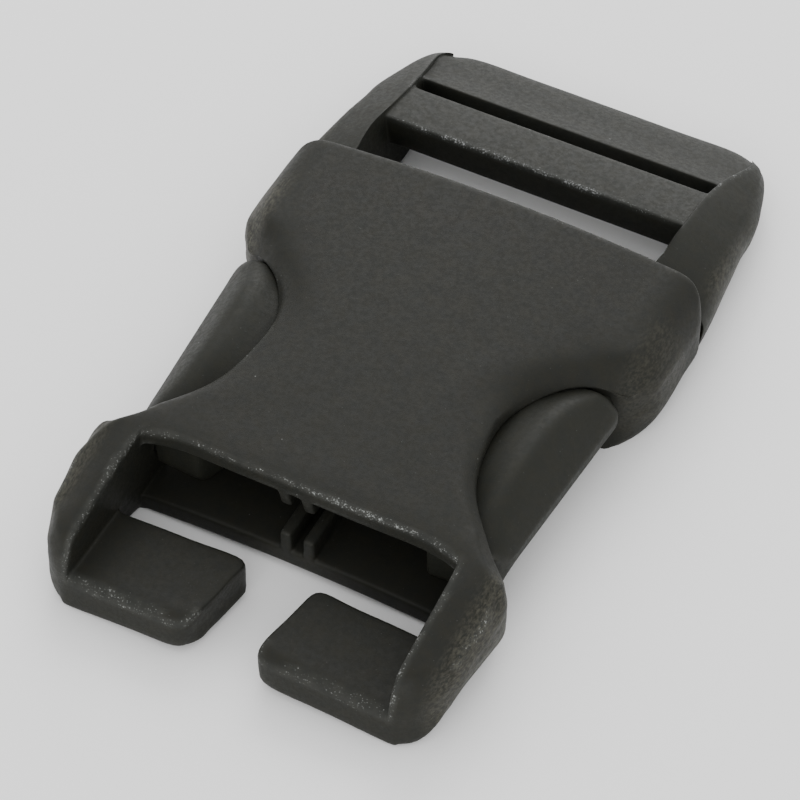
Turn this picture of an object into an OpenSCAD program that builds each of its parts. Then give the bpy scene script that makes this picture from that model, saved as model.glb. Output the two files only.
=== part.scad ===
// Side-release buckle for 25 mm webbing, fastened, lying on its back.
// X runs across the buckle, Y along it from the split bar to the plug's end bar, Z up.
// The origin is the centre of the footprint, on the surface that the buckle rests on.

/* [Buckle] */
// Length over both halves when they are fastened
buckle_l = 65; // [64:0.5:66]
// Width over the socket's collar and the root of the plug's frame
buckle_w = 37; // [36.2:0.1:37.2]
// Height of the socket over the middle of its crowned top
buckle_h = 9.4; // [9.2:0.1:9.8]
// Running gap between the two mouldings
gap = 0.3; // [0.2:0.05:0.35]

/* [Socket] */
// Length of the socket, from the split bar to the collar's rear face
socket_l = 45; // [44.5:0.5:45.5]
// Thickness of the top and bottom plates
plate_t = 1.7; // [1.5:0.1:1.8]
// Radius of the crown of the top plate, across the buckle
crown_r = 140; // [120:5:180]
// Radius of the upper edge along each side
side_top_r = 3.2; // [2.6:0.1:3.4]
// Radius of the lower edge along each side
side_base_r = 3.2; // [2.6:0.1:3.2]
// Width over the front shoulders beside the mouth
front_w = 34.8; // [34.4:0.1:35.2]
// Distance that each side draws in from the front shoulder to the front corner
front_inset = 0.8; // [0.6:0.1:1.2]
// Radius of the socket's front corners, seen from above
front_corner_r = 3.4; // [2.8:0.1:4]
// Inside width of the collar's tunnel
tunnel_w = 29.6; // [29.2:0.2:30]
// Radius of the collar's rear corners, seen from above
collar_r = 2.5; // [2:0.1:3]
// Radius of the collar's corners beside the windows
shoulder_r = 5.2; // [4.8:0.1:5.4]

/* [Windows] */
// Width of the top plate between the two windows at its waist
waist_w = 19.9; // [19:0.1:20]
// Place of the waist along the buckle
waist_y = -8; // [-8.5:0.25:-7.5]
// Radius of the window's outline behind the waist
window_rear_r = 9.2; // [8.8:0.1:9.4]
// Radius of the window's outline in front of the waist
window_front_r = 14; // [13.2:0.1:14.2]

/* [Mouth] */
// Width of the mouth and of its webbing slot
mouth_w = 26.9; // [26.4:0.1:27]
// Thickness of the two tabs of the split bar
tab_t = 3.4; // [3:0.1:3.6]
// Length of each tab along the buckle
tab_l = 7.5; // [7:0.1:8]
// Width of the webbing slot behind the tabs
slot_l = 3.3; // [3:0.1:3.8]
// Distance that the floor of the socket reaches past the lip of the top plate
floor_lead = 1.4; // [1:0.1:1.8]
// Width of the slit between the tabs
slit_w = 5.5; // [5:0.1:6]
// Place of the slit's middle across the buckle
slit_x = -0.3; // [-0.8:0.1:0]
// Sideways run of the slit from the front to the back of the tabs
slit_slant = 2; // [1.6:0.1:2.4]
// Radius of the front corner at each tab's free end
tab_corner_r = 1.8; // [1.4:0.1:2]
// Radius of the back corner at each tab's free end
tab_back_r = 0.8; // [0.6:0.1:1.2]
// Radius of the rounded front end of each rail, seen from the side
nose_r = 4.8; // [4.4:0.1:5.2]
// Slope of the rails' top down to the front end, in degrees
rail_slope = 12.5; // [12:0.5:14.5]

/* [Plug frame] */
// Clear width between the rails, for the webbing
webbing_w = 26.2; // [25.6:0.1:26.4]
// Slant of the rails' inner faces, in degrees, so that the slots widen upwards
slot_draft = 6; // [4:0.5:7]
// Height of the rails' top behind the collar
rail_h = 7.8; // [7.6:0.1:8.2]
// Height of the frame's underside over the surface
frame_z = 0.5; // [0.3:0.1:0.8]
// Radius of the frame's crowned top, seen from the side
frame_top_r = 33.4; // [30:0.2:36]
// Width over the rails behind the collar
frame_root_w = 36.3; // [35.6:0.1:36.6]
// Slant of each rail's outer side, in degrees, so that the frame narrows to its end
rail_taper = 6; // [5:0.1:8]
// Radius of the rails' outer edges
rail_r = 1; // [0.8:0.1:1.2]
// Distance that the rails' top falls from its inner to its outer edge
rail_fall = 1.6; // [1.2:0.1:2]
// Radius of the frame's two far corners, seen from above
frame_corner_r = 6.3; // [5:0.1:7]
// Radius of the frame's far edge, seen from the side
end_edge_r = 0.8; // [0.6:0.1:0.8]
// Length of the slot between the root and the centre bar
near_slot_l = 5.4; // [4.8:0.1:5.6]
// Length of the centre bar along the buckle
centre_bar_l = 5.2; // [4.6:0.1:5.4]
// Height of the centre bar's underside over the surface
centre_bar_z = 4.1; // [3.8:0.1:4.6]
// Length of the slot between the centre bar and the end bar
far_slot_l = 1.8; // [1.6:0.1:2.2]
// Height that the rails stand over the two bars
rail_lip = 0.3; // [0.2:0.1:0.6]

/* [Arms] */
// Width over the two release buttons at their widest
button_w = 33.6; // [33:0.1:33.8]
// Turn of each button's outer side, in degrees, so that it narrows to the front
button_taper = 3.9; // [3.6:0.1:4.8]
// Height of a button, from its lower to its upper face
button_h = 6.6; // [6:0.1:6.8]
// Width of the bevel from the upper face to the outer edge
button_bevel = 2.5; // [2.2:0.1:2.8]
// Width of each button between its hidden inner side and its outer edge
button_depth = 7.4; // [7:0.1:7.8]
// Width of each arm in the tunnel
arm_w = 2.2; // [2:0.1:2.4]

/* [Hidden] */
$fn = 64;
cut = 1;
black = [0.16, 0.16, 0.14];
dull_black = [0.22, 0.22, 0.19];

front_y = -buckle_l / 2;
end_y = buckle_l / 2;
collar_y = front_y + socket_l;
half_w = buckle_w / 2;
mouth_x = mouth_w / 2;
tunnel_x = tunnel_w / 2;
webbing_x = webbing_w / 2;
// Height of the arms' and the tongue's middle, a little below the middle of the tunnel
mid_drop = 0.7;
mid_z = (buckle_h + plate_t) / 2 - mid_drop;

tab_back_y = front_y + tab_l;
floor_y = tab_back_y + slot_l;
lip_y = floor_y + floor_lead;
ceiling_z = buckle_h - plate_t;

// Centres of the arcs of the window's outline, which meet at the waist
rear_window = [waist_w / 2 + window_rear_r, waist_y];
front_window = [waist_w / 2 + window_front_r, waist_y];
// Corner circles that touch the window's arcs from outside
shoulder = [half_w - shoulder_r, beside(rear_window, window_rear_r + shoulder_r, half_w - shoulder_r, 1)];
// Radius of the front shoulders beside the windows
brow_r = 2.5;
brow = [front_w / 2 - brow_r, beside(front_window, window_front_r + brow_r, front_w / 2 - brow_r, -1)];
shoulder_touch = touch(rear_window, window_rear_r, shoulder);
brow_touch = touch(front_window, window_front_r, brow);
front_corner = [front_w / 2 - front_inset - front_corner_r, front_y + front_corner_r];
// Where the solid side walls beside the mouth end, just behind the front shoulders' round
wall_lead = 0.4;
window_end_y = brow_touch[1] + wall_lead;
// Centre of the rails' rounded front end, as (y, z), a little below the tabs' top
nose_drop = 0.4;
nose = [front_y + nose_r, tab_t - nose_drop];
// Radius of the sloping rails' upper edges
front_top_r = 1.9;

root_y = collar_y + gap;
// Length of the plug's root, and the part of it that shows behind the collar
root_l = 4.2;
root_show = 0.6;
centre_bar_y = root_y + near_slot_l;
end_bar_y = centre_bar_y + centre_bar_l + far_slot_l;
// Where the frame's top starts to fall
crest_l = 1.2;
crest_y = root_y + crest_l;
corner_y = end_y - frame_corner_r * (1 - sin(rail_taper));
corner_x = frame_root_w / 2 - (corner_y - root_y) * tan(rail_taper) - frame_corner_r * cos(rail_taper);
station_steps = 4;
frame_stations = [
    root_y,
    for (i = [0 : station_steps]) crest_y + (corner_y - crest_y) * i / station_steps,
    for (a = [15 : 15 : 90]) corner_y + (end_y - corner_y) * sin(a),
];

// The guide ribs: place of their middle, width, distance from it, height, and length under the top plate
rib_mid = -0.2;
rib_w = 1;
rib_x = 0.5;
rib_h = 1.9;
rib_l = 13;
// The plug's tongue: width, length and height
tongue = [5, 13, 3.2];
// Depth that joined shapes overlap, and the thickness of a slice
sink = 0.1;
slice = 0.01;

// Point on a circle's rim at a given x, above (side 1) or below (side -1) its centre
function beside(centre, r, x, side) = centre[1] + side * sqrt(r * r - (x - centre[0]) * (x - centre[0]));
// Vector of length 1 along v
function unit(v) = v / norm(v);
// Point where a circle touches another that lies outside it
function touch(centre, r, other) = centre + r * (other - centre) / norm(other - centre);

// Two circles and the band between their outer tangents
module capsule(a, ra, b, rb) {
    base = atan2(b[1] - a[1], b[0] - a[0]);
    spread = acos((ra - rb) / norm(b - a));
    left = [cos(base + spread), sin(base + spread)];
    right = [cos(base - spread), sin(base - spread)];
    translate(a) circle(ra);
    translate(b) circle(rb);
    polygon([a + ra * left, a + ra * right, b + rb * right, b + rb * left]);
}

// Rectangle from its low corner to its high corner
module box(low, high) {
    translate(low) square(high - low);
}

// Repeats its child on the left side
module both_sides() {
    children();
    mirror([1, 0]) children();
}

// Outline seen along Y, given along Y from the front to the back
module along_y(from_y, to_y) {
    translate([0, to_y, 0]) rotate([90, 0, 0]) linear_extrude(to_y - from_y) children();
}

// Outline seen from the side, as (y, z), given the object's whole width
module across_x(width) {
    translate([-width / 2, 0, 0]) rotate([90, 0, 90]) linear_extrude(width) children();
}

// The socket's outline from above
module socket_plan() {
    difference() {
        union() {
            both_sides() {
                capsule(shoulder, shoulder_r, [half_w - collar_r, collar_y - collar_r], collar_r);
                capsule(brow, brow_r, front_corner, front_corner_r);
            }
            box([-shoulder[0], shoulder[1]], [shoulder[0], collar_y - collar_r]);
            box([collar_r - half_w, shoulder[1]], [half_w - collar_r, collar_y]);
            box([-shoulder_touch[0], waist_y], [shoulder_touch[0], shoulder[1]]);
            box([-brow_touch[0], brow[1]], [brow_touch[0], waist_y]);
            box([-front_corner[0], front_y], [front_corner[0], brow[1]]);
            box([-brow[0], front_corner[1]], [brow[0], brow[1]]);
        }
        both_sides() window_plan(0);
    }
}

// The window's outline less a margin: a tighter arc behind the waist than in front of it
module window_plan(margin) {
    intersection() {
        translate(rear_window) circle(window_rear_r - margin);
        box([0, waist_y], [half_w + cut, collar_y]);
    }
    intersection() {
        translate(front_window) circle(window_front_r - margin);
        box([0, front_y], [half_w + window_front_r, waist_y]);
    }
}

// A crowned section across the socket, with rounded sides
module crowned_section(half, height, top_r, base_r) {
    crown_z = height - crown_r;
    corner = [half - top_r, beside([0, crown_z], crown_r - top_r, half - top_r, 1)];
    crown_edge = touch([0, crown_z], crown_r, corner)[0];
    intersection() {
        translate([0, crown_z]) circle(crown_r, $fn = 256);
        box([-crown_edge, 0], [crown_edge, height]);
    }
    both_sides() {
        translate(corner) circle(top_r);
        translate([half - base_r, base_r]) circle(base_r);
    }
    box([-half, base_r], [half, corner[1]]);
    box([base_r - half, 0], [half - base_r, base_r]);
}

// Where the rounded front end of a rail meets its sloping top, as (y, z)
function nose_crest() = nose + nose_r * [-sin(rail_slope), cos(rail_slope)];

// The socket seen from the side: level, then sloping rails with rounded front ends
module socket_side() {
    crest = nose_crest();
    run = (buckle_h - crest[1]) / tan(rail_slope);
    heel_r = 0.8;
    translate(nose) intersection() {
        circle(nose_r);
        box([-nose_r, -nose[1]], [nose_r, nose_r]);
    }
    translate([front_y + heel_r, heel_r]) circle(heel_r);
    box([front_y, heel_r], [nose[0], nose[1]]);
    box([front_y + heel_r, 0], [collar_y, nose[1]]);
    polygon([nose, crest, crest + [run, buckle_h - crest[1]], [collar_y, buckle_h], [collar_y, nose[1]]]);
}

// What the sloping rails keep in front of the waist: a crowned top tilted along the slope, and all behind it
module front_fall() {
    crest = nose_crest();
    depth = 2 * buckle_h;
    along_y(waist_y, collar_y) box([-half_w, 0], [half_w, buckle_h]);
    translate([0, crest[0], crest[1]]) rotate([rail_slope, 0, 0]) along_y(-socket_l, socket_l) difference() {
        translate([0, -depth]) crowned_section(front_w / 2, depth, front_top_r, front_top_r);
        box([-half_w, -depth - cut], [half_w, -buckle_h]);
    }
}

// The height of the socket's hollow, less a margin: a level floor and a crowned ceiling
module hollow_section(margin) {
    difference() {
        translate([0, ceiling_z - crown_r]) circle(crown_r - margin, $fn = 256);
        box([-crown_r, -2 * crown_r], [crown_r, plate_t + margin]);
    }
}

// The hollow of the socket, open at the mouth, at the windows and at the collar
module socket_hollow() {
    intersection() {
        along_y(front_y, collar_y + cut) hollow_section(0);
        linear_extrude(buckle_h) {
            box([-tunnel_x, shoulder_touch[1]], [tunnel_x, collar_y + cut]);
            box([-half_w - cut, window_end_y], [half_w + cut, shoulder_touch[1]]);
            box([-mouth_x, tab_back_y], [mouth_x, window_end_y]);
        }
    }
}

// What the mouth takes away: the space over the tabs, the webbing slot and the slit
module mouth_cut() {
    above = 2 * buckle_h;
    translate([0, 0, tab_t]) linear_extrude(above)
        box([-mouth_x, front_y - cut], [mouth_x, lip_y]);
    translate([0, 0, -cut]) linear_extrude(above) {
        box([-mouth_x, tab_back_y], [mouth_x, floor_y]);
        slit_plan();
    }
}

// The slanted slit between the tabs, with the tabs' corners rounded off
module slit_plan() {
    lean = slit_slant / tab_l;
    half = slit_w / 2;
    back = tab_l + cut;
    translate([slit_x - slit_slant / 2, front_y]) {
        polygon([
            [-half - lean * cut, -cut],
            [half - lean * cut, -cut],
            [half + lean * back, back],
            [-half + lean * back, back],
        ]);
        for (side = [-1, 1]) {
            translate([side * half, 0]) corner_cut([side, 0], unit([lean, 1]), tab_corner_r);
            translate([side * half + slit_slant, tab_l]) corner_cut([side, 0], -unit([lean, 1]), tab_back_r);
        }
    }
}

// What rounds off a corner at the origin, between two edges given as unit vectors
module corner_cut(a, b, r) {
    half_cos = norm(a + b) / 2;
    half_sin = sqrt(1 - half_cos * half_cos);
    reach = r * half_cos / half_sin;
    centre = unit(a + b) * r / half_sin;
    difference() {
        polygon([-sink * unit(a + b), a * reach, centre, b * reach]);
        translate(centre) circle(r);
    }
}

// Two pairs of low ribs that guide the plug's tongue, on the floor and under the top plate
module guide_ribs() {
    for (side = [-1, 1]) translate([rib_mid + side * (rib_x + rib_w / 2) - rib_w / 2, 0, 0]) {
        translate([0, floor_y, plate_t - sink]) cube([rib_w, rib_l + floor_lead, rib_h]);
        translate([0, lip_y, ceiling_z + sink - rib_h]) cube([rib_w, rib_l, rib_h]);
    }
}

module socket() {
    color(black) {
        difference() {
            intersection() {
                linear_extrude(buckle_h) socket_plan();
                along_y(front_y, collar_y) crowned_section(half_w, buckle_h, side_top_r, side_base_r);
                across_x(buckle_w) socket_side();
                front_fall();
            }
            socket_hollow();
            mouth_cut();
        }
        guide_ribs();
    }
}

// Half the frame's width at a place along the buckle: straight rails, then a rounded far corner
function frame_half(y) =
    let (rail = frame_root_w / 2 - (y - root_y) * tan(rail_taper))
    y < corner_y ? rail : corner_x + sqrt(pow(frame_corner_r, 2) - pow(y - end_y + frame_corner_r, 2));
// Height of the frame's top there: level behind the collar, then an arc down to the end
function frame_top(y) = rail_h - frame_top_r + sqrt(pow(frame_top_r, 2) - pow(max(0, y - crest_y), 2));

// Half the clear width between the rails at a height
function slot_x(z) = webbing_x + (z - rail_h / 2) * tan(slot_draft);

// The frame's rounded section at a place along the buckle
module frame_station(y) {
    end_run = min(end_edge_r, max(0, y - end_y + end_edge_r));
    inset = end_edge_r - sqrt(pow(end_edge_r, 2) - pow(end_run, 2));
    low = frame_z + inset;
    high = frame_top(y) - inset;
    half = frame_half(min(y, end_y - slice));
    fall = rail_fall * (high - low) / (rail_h - frame_z);
    r = min(rail_r, (high - low - fall - sink) / 2);
    crest_x = min(slot_x(high), half - 2 * r);
    along_y(y - slice, y) {
        box([-crest_x, low], [crest_x, high]);
        both_sides() for (z = [low + r, high - fall - r]) translate([half - r, z]) circle(r, $fn = 32);
    }
}

// The frame seen from the side, with its top lowered by a given drop
module frame_side(drop) {
    intersection() {
        translate([crest_y, rail_h - drop - frame_top_r]) circle(frame_top_r, $fn = 256);
        box([crest_y, frame_z], [end_y, rail_h]);
    }
    box([root_y, frame_z], [crest_y, rail_h - drop]);
}

// The space between the rails from a given height up, seen along Y: wider at the top than at the bottom
module slot_section(low) {
    polygon([
        [-slot_x(low), low],
        [slot_x(low), low],
        [slot_x(buckle_h), buckle_h],
        [-slot_x(buckle_h), buckle_h],
    ]);
}

// The webbing frame: two rails, the centre bar and the end bar
module frame() {
    difference() {
        hull() for (y = frame_stations) frame_station(y);
        along_y(root_y - cut, centre_bar_y) slot_section(-cut);
        along_y(centre_bar_y + centre_bar_l, end_bar_y) slot_section(-cut);
        difference() {
            along_y(centre_bar_y - cut, end_y + cut) slot_section(-cut);
            across_x(buckle_w) frame_side(rail_lip);
        }
        difference() {
            along_y(centre_bar_y - cut, end_bar_y) slot_section(-cut);
            along_y(centre_bar_y, end_bar_y) box([-half_w, centre_bar_z], [half_w, 2 * buckle_h]);
        }
    }
}

// The root of the plug, which joins the frame, the arms and the tongue inside the collar
module root() {
    root_x = tunnel_x - gap;
    low = plate_t + gap;
    high = beside([0, ceiling_z - crown_r], crown_r, root_x, 1) - gap;
    translate([-root_x, root_y + root_show - root_l, low]) cube([2 * root_x, root_l, high - low]);
    translate([-tongue[0] / 2, root_y - tongue[1], mid_z - tongue[2] / 2]) cube(tongue);
}

// A button's section: flat faces, bevels to a rounded outer edge
module button_section() {
    half = button_h / 2;
    edge_r = 1;
    in = edge_r * (1 - cos(45));
    rise = edge_r * sin(45);
    translate([0, mid_z]) {
        polygon([
            [-button_depth, -half],
            [-button_bevel, -half],
            [-in, -rise],
            [-in, rise],
            [-button_bevel, half],
            [-button_depth, half],
        ]);
        translate([-edge_r, 0]) circle(edge_r);
    }
}

// The right arm: a thin spring in the tunnel and a release button in the window
module arm() {
    spring_x = tunnel_x - gap - arm_w;
    head_y = shoulder_touch[1] - gap;
    head_l = head_y - window_end_y - gap;
    spring_h = 3.6;
    overlap = 2;
    translate([spring_x, head_y - overlap, mid_z - spring_h / 2])
        cube([arm_w, root_y + overlap - head_y, spring_h]);
    intersection() {
        translate([button_w / 2, head_y, 0]) rotate([0, 0, -button_taper])
            along_y(-head_l - overlap, overlap) button_section();
        linear_extrude(buckle_h) button_plan(head_y, head_l);
        union() {
            along_y(front_y, collar_y) hollow_section(gap);
            linear_extrude(buckle_h) window_plan(gap);
        }
    }
}

// What bounds a button's two ends: a rounded rear corner and a rounded tip
module button_plan(head_y, head_l) {
    rear_r = 1.6;
    tip_r = 2.2;
    tip_in = 1;
    outer = button_w / 2;
    tip = [outer - tip_r - tip_in, head_y - head_l + tip_r];
    capsule([outer - rear_r, head_y - rear_r], rear_r, tip, tip_r);
    box([0, tip[1]], [tip[0], head_y]);
    box([0, tip[1] - tip_r], [tip[0], head_y - tip_r]);
}

module plug() {
    color(dull_black) {
        frame();
        root();
        arm();
        mirror([1, 0, 0]) arm();
    }
}

socket();
plug();
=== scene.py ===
"""Looks for a fastened side-release buckle of black moulded plastic.

The two mouldings are modelled as subdivision cages glued from unit blocks. Each cage point is named by its
column, row and level, and is then set on the finished surface. Sizes are in millimetres, in the part's frame.
"""

import logging
import math
from collections import Counter, defaultdict
from collections.abc import Callable
from dataclasses import dataclass, field
from enum import Enum

import bpy
import numpy as np
from mathutils import Matrix, Vector
from mathutils.kdtree import KDTree

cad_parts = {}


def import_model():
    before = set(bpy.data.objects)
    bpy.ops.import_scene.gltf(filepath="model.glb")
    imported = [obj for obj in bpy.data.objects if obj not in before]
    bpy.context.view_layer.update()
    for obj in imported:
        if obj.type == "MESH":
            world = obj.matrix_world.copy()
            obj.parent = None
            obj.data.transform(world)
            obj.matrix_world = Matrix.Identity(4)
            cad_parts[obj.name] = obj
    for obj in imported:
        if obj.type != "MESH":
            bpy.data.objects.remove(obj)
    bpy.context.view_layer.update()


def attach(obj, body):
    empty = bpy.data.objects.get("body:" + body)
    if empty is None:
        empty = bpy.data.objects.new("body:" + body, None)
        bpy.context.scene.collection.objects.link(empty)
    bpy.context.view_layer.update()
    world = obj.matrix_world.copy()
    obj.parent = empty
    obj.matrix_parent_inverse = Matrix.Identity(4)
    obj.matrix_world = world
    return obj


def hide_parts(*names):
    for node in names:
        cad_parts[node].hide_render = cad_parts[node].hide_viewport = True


LOG = logging.getLogger("buckle")
MM = 0.001
# Reach of the pale edge band, which is partly wear and partly a painted highlight on the rounded edges.
WEAR_AND_HIGHLIGHT_REACH = 0.45
EDGE_BEND = 1.1

Key = tuple[int, int, int]
Plan = tuple[float, float]
Place = tuple[float, float, float]
Placer = Callable[[int, int, int], Place]
CreaseRule = Callable[[Key, Key], float | None]
Field = Callable[[float, float, float], float]
Tone = tuple[float, float, float]


def deselect() -> None:
    """Deselect every object."""
    for obj in bpy.context.selected_objects:
        obj.select_set(False)


def activate(obj: bpy.types.Object) -> None:
    """Make one object the only selected and active one.

    Args:
        obj: The object.
    """
    deselect()
    obj.select_set(True)
    bpy.context.view_layer.objects.active = obj


def blend(a: float, b: float, t: float) -> float:
    """Return the value between a and b at t, which is held to 0..1."""
    t = min(1.0, max(0.0, t))
    return a + (b - a) * t


def smooth(t: float) -> float:
    """Return an eased 0..1 value of t."""
    t = min(1.0, max(0.0, t))
    return t * t * (3 - 2 * t)


def soft_min(a: float, b: float, width: float) -> float:
    """Return the lower of two values, eased where they differ by less than the width."""
    near = max(0.0, 1 - abs(a - b) / width)
    return min(a, b) - width * near * near / 4


def quarter_drop(distance: float, width: float, depth: float) -> float:
    """Return how far a rounded edge has fallen at a distance from its rim.

    Args:
        distance: Distance in from the rim.
        width: Width of the rounding, seen from above.
        depth: Depth of the rounding at the rim.

    Returns:
        How far the surface has fallen there.
    """
    e = min(1.0, max(0.0, 1 - distance / width))
    return depth * (1 - math.sqrt(1 - e * e))


class Cage:
    """A closed cage of quads, glued from blocks of unit cells, that a subdivision surface finishes."""

    LEVELS = 2
    ROUNDS = 9
    PUSH = 1.2  # the fit corrects a little more than the miss, which settles it sooner
    SHARED_ROOM = 0.42  # share of an edge for a bevel that meets another one
    FREE_ROOM = 0.8

    def __init__(self, name: str) -> None:
        """Start an empty cage with the finished piece's name."""
        self.name = name
        self.blocks: list[bpy.types.Object] = []

    def block(self, low: Key, high: Key) -> None:
        """Add a block of unit cells from its low corner to its high corner.

        Args:
            low: Column, row and level of the low corner.
            high: Column, row and level of the high corner.
        """
        wide, deep, tall = (b - a for a, b in zip(low, high))
        deselect()
        bpy.ops.mesh.primitive_grid_add(x_subdivisions=wide, y_subdivisions=deep, size=1, location=(0, 0, 0))
        obj = bpy.context.object
        bpy.ops.object.mode_set(mode="EDIT")
        bpy.ops.mesh.select_all(action="SELECT")
        bpy.ops.transform.resize(value=(wide, deep, 1))
        bpy.ops.transform.translate(value=(low[0] + wide / 2, low[1] + deep / 2, low[2]))
        for _ in range(tall):
            bpy.ops.mesh.extrude_region_move(TRANSFORM_OT_translate={"value": (0, 0, 1)})
        bpy.ops.object.mode_set(mode="OBJECT")
        self.blocks.append(obj)

    def glue(self) -> bpy.types.Object:
        """Join the blocks, delete the walls between them and merge their corners.

        Returns:
            The cage's object, with whole-number corners.
        """
        deselect()
        for obj in self.blocks:
            obj.select_set(True)
        bpy.context.view_layer.objects.active = self.blocks[0]
        if len(self.blocks) > 1:
            bpy.ops.object.join()
        obj = bpy.context.object
        obj.name = obj.data.name = self.name
        centres = [tuple(round(c * 2) for c in face.center) for face in obj.data.polygons]
        count = Counter(centres)
        bpy.context.tool_settings.mesh_select_mode = (False, False, True)
        bpy.ops.object.mode_set(mode="EDIT")
        bpy.ops.mesh.select_all(action="DESELECT")
        bpy.ops.object.mode_set(mode="OBJECT")
        for face, centre in zip(obj.data.polygons, centres):
            face.select = count[centre] > 1
        bpy.ops.object.mode_set(mode="EDIT")
        bpy.ops.mesh.delete(type="FACE")
        bpy.ops.mesh.select_all(action="SELECT")
        bpy.ops.mesh.remove_doubles(threshold=0.01)
        bpy.ops.mesh.normals_make_consistent(inside=False)
        bpy.ops.object.mode_set(mode="OBJECT")
        return obj

    def finish(self, place: Placer, sharp_deg: float, bevel: float,
               rule: CreaseRule | None = None) -> bpy.types.Object:
        """Set the cage's corners on the finished surface, subdivide it and round its sharp edges.

        Args:
            place: Gives the finished place of a (column, row, level) corner.
            sharp_deg: Edges that turn by more than this stay sharp until the bevel.
            bevel: Width of the bevel on them.
            rule: Gives the crease of an edge from its corners' names, or None where the angle decides.

        Returns:
            The finished object.
        """
        obj = self.glue()
        mesh = obj.data
        keys = [tuple(round(c) for c in v.co) for v in mesh.vertices]
        target = np.array([place(*key) for key in keys]) * MM
        mesh.vertices.foreach_set("co", target.ravel())
        mesh.update()
        self._crease(mesh, keys, sharp_deg, rule)
        self._fit(obj, target)
        obj.modifiers.clear()
        activate(obj)
        self._weigh(mesh, bevel * MM)
        edge = obj.modifiers.new("Bevel", "BEVEL")
        edge.limit_method = "WEIGHT"
        edge.width = bevel * MM
        edge.segments = 2
        edge.use_clamp_overlap = False
        bpy.ops.object.modifier_apply(modifier="Bevel")
        mesh.attributes.remove(mesh.attributes["crease_edge"])
        self._subdivide(obj)
        bpy.ops.object.modifier_apply(modifier="Subdivision")
        for vertex in mesh.vertices:  # the underside stays flat on the floor
            vertex.co.z = max(0.0, vertex.co.z)
        bpy.ops.object.shade_smooth()
        return obj

    def _subdivide(self, obj: bpy.types.Object) -> None:
        """Put the subdivision modifier on the cage.

        Args:
            obj: The cage's object.
        """
        modifier = obj.modifiers.new("Subdivision", "SUBSURF")
        modifier.levels = modifier.render_levels = self.LEVELS
        modifier.boundary_smooth = "ALL"

    @staticmethod
    def _crease(mesh: bpy.types.Mesh, keys: list[Key], sharp_deg: float, rule: CreaseRule | None) -> None:
        """Crease the edges where the cage turns sharply, or as the rule asks.

        Args:
            mesh: The cage.
            keys: The name of each corner.
            sharp_deg: Edges that turn by more than this are creased.
            rule: Gives the crease of an edge, or None where the angle decides.
        """
        faces = defaultdict(list)
        for face in mesh.polygons:
            for edge in face.edge_keys:
                faces[edge].append(face.normal.copy())
        limit = math.cos(math.radians(sharp_deg))
        crease = mesh.attributes.new("crease_edge", "FLOAT", "EDGE")
        for edge in mesh.edges:
            a, b = edge.vertices
            pair = faces[edge.key]
            turned = len(pair) == 2 and pair[0].dot(pair[1]) < limit
            asked = rule(keys[a], keys[b]) if rule else None
            crease.data[edge.index].value = float(turned) if asked is None else asked

    @staticmethod
    def _weigh(mesh: bpy.types.Mesh, width: float) -> None:
        """Give each creased edge the bevel weight that the edges beside it leave room for.

        Args:
            mesh: The creased cage.
            width: Full width of the bevel.
        """
        crease = [item.value for item in mesh.attributes["crease_edge"].data]
        index = {edge.key: edge.index for edge in mesh.edges}
        sharp = {v for edge in mesh.edges if crease[edge.index] for v in edge.vertices}
        room = defaultdict(lambda: math.inf)
        for face in mesh.polygons:
            keys = face.edge_keys
            for key in keys:
                if not crease[index[key]]:
                    continue
                for other in keys:
                    if other != key and set(other) & set(key) and not crease[index[other]]:
                        length = (mesh.vertices[other[0]].co - mesh.vertices[other[1]].co).length
                        share = Cage.SHARED_ROOM if set(other) <= sharp else Cage.FREE_ROOM
                        room[key] = min(room[key], share * length)
        weight = mesh.attributes.new("bevel_weight_edge", "FLOAT", "EDGE")
        for edge in mesh.edges:
            weight.data[edge.index].value = crease[edge.index] * min(1.0, room[edge.key] / width)

    def _fit(self, obj: bpy.types.Object, target: np.ndarray) -> None:
        """Move the cage's corners until its subdivided surface passes through the target points.

        Args:
            obj: The cage's object.
            target: The point that each corner settles on.
        """
        mesh = obj.data
        self._subdivide(obj)
        count = len(mesh.vertices)
        cage = target.copy()
        for turn in range(self.ROUNDS):
            bpy.context.view_layer.update()
            smoothed = obj.evaluated_get(bpy.context.evaluated_depsgraph_get()).data
            seen = np.empty(len(smoothed.vertices) * 3, np.float32)
            smoothed.vertices.foreach_get("co", seen)
            miss = target - seen.reshape(-1, 3)[:count]
            cage += miss * (self.PUSH if turn else 1.0)
            mesh.vertices.foreach_set("co", cage.ravel())
            mesh.update()
        LOG.info("%s: cage of %d corners, last miss %.3f mm", self.name, count, np.abs(miss).max() / MM)


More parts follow.
